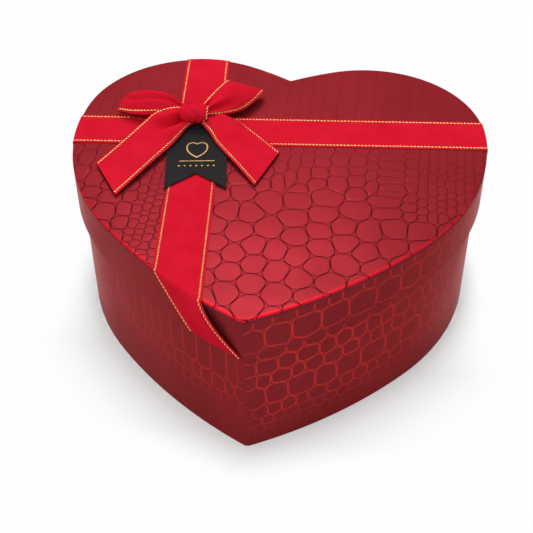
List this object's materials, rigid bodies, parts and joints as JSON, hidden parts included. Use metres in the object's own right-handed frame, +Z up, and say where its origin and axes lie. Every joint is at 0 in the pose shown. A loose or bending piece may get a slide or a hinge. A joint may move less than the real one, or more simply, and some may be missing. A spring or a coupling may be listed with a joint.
{
  "type": "heart-shaped gift box",
  "caption": "Heart-shaped covered-board gift box with a telescoping lift-off lid, crossed ribbon bands, a bow and a swallow-tailed tag; holds sweets or a small gift.",
  "frame": {"origin": "on the table, under the middle of the lid's outline", "axes": "+Z up; +X across the two lobes, with the bow on the -X side; +Y from the point to the notch"},
  "size_m": [0.2208, 0.2111, 0.1096],
  "materials": {
    "board": "matte grey board",
    "stay_tape": "matte kraft paper",
    "embossed_paper": "crocodile-embossed, satin",
    "lining_paper": "matte",
    "bottom_paper": "matte",
    "ribbon": "ribbed satin with gold edge thread",
    "tag_card": "matte black card",
    "glue": "clear set glue"
  },
  "bodies": {
    "base": {"base_floor_board": "board", "base_wall_left": "board", "base_wall_right": "board", "base_tip_tape": "stay_tape", "base_notch_tape": "stay_tape", "base_wrap": "embossed_paper", "base_wall_lining": "lining_paper", "base_floor_lining": "lining_paper", "base_bottom_sheet": "bottom_paper"},
    "lid": {"lid_top_board": "board", "lid_rim_left": "board", "lid_rim_right": "board", "lid_tip_tape": "stay_tape", "lid_notch_tape": "stay_tape", "lid_top_sheet": "embossed_paper", "lid_rim_wrap": "embossed_paper", "lid_rim_lining": "lining_paper", "lid_top_lining": "lining_paper", "cross_ribbon": "ribbon", "long_ribbon": "ribbon", "bow_knot": "ribbon", "bow_left_loop": "ribbon", "bow_right_loop": "ribbon", "bow_left_tail": "ribbon", "bow_right_tail": "ribbon", "bow_glue_pad": "glue", "gift_tag": "tag_card", "tag_glue_dot": "glue"}
  },
  "joints": [
    {"name": "lid_lift", "type": "slide", "parent": "base", "child": "lid", "axis": [0, 0, 1], "range_m": [0, 0.12]}
  ]
}
